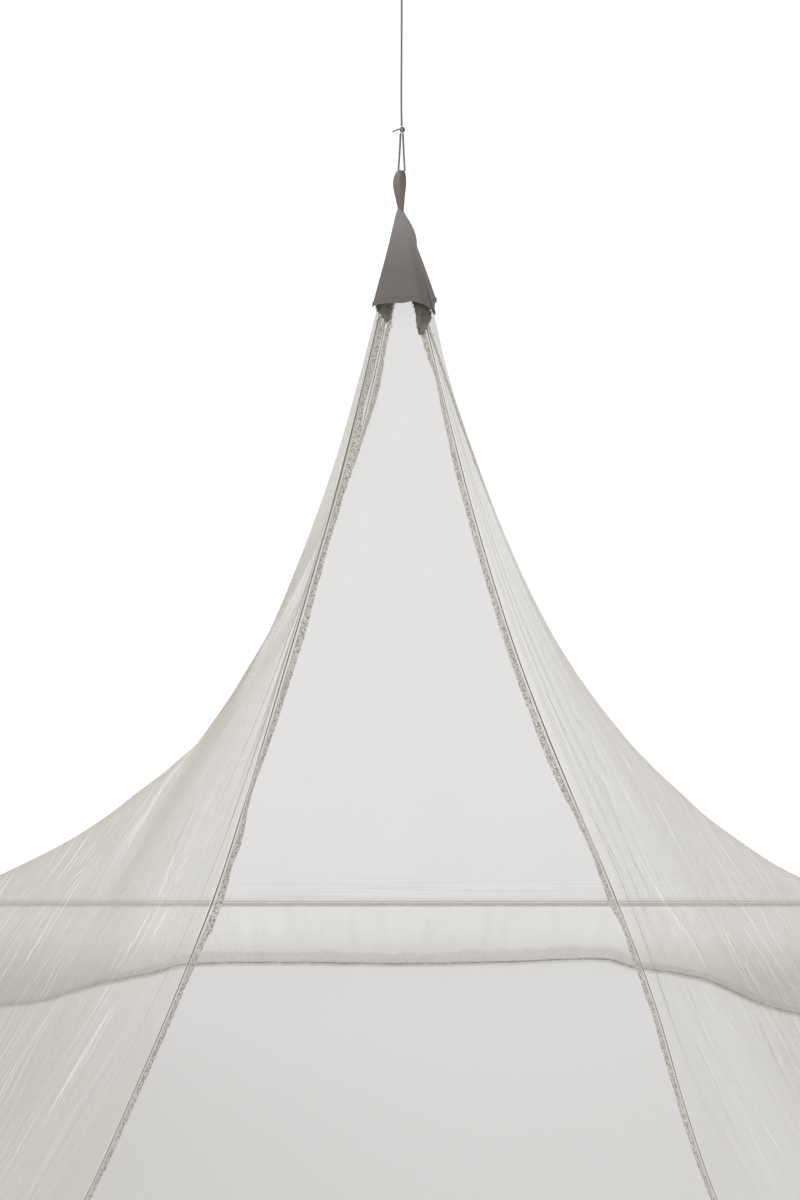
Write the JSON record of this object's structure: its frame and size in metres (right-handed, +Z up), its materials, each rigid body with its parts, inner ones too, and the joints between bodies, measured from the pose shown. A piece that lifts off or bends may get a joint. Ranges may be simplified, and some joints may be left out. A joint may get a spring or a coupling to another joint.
{
  "type": "mosquito net canopy",
  "caption": "Pyramid mosquito net canopy for a single sleeper, hung from one cord, with sagging ridges, sewn edges, a fabric peak cap and a skirt that lies on the floor.",
  "frame": {"origin": "the inside of the crown of the cord's top loop, where a hook or nail holds the whole net; the floor is 1.395 m below it", "axes": "+Z up, +Y from the foot end that faces the camera towards the far end, +X to the right as seen from the front"},
  "size_m": [1.2024, 2.4024, 1.3952],
  "materials": {
    "net": "fine sheer net, warm off-white",
    "seam": "overlocked edge, warm grey",
    "cap": "matt grey woven cloth",
    "ribbon": "brownish grey flat ribbon",
    "cord": "grey braided cord"
  },
  "bodies": {
    "root": {"wall_front": "net", "wall_back": "net", "wall_left": "net", "wall_right": "net", "skirt_front": "net", "skirt_back": "net", "skirt_left": "net", "skirt_right": "net", "ridge_seam_front_left": "seam", "ridge_seam_front_right": "seam", "ridge_seam_back_left": "seam", "ridge_seam_back_right": "seam", "eave_seam_front": "seam", "eave_seam_back": "seam", "eave_seam_left": "seam", "eave_seam_right": "seam", "cap": "cap", "cap_tab_left": "cap", "cap_tab_right": "cap", "ribbon_loop": "ribbon", "cord_bight": "cord", "lower_knot": "cord", "hang_cord": "cord", "upper_knot": "cord", "hang_loop": "cord"}
  },
  "joints": []
}
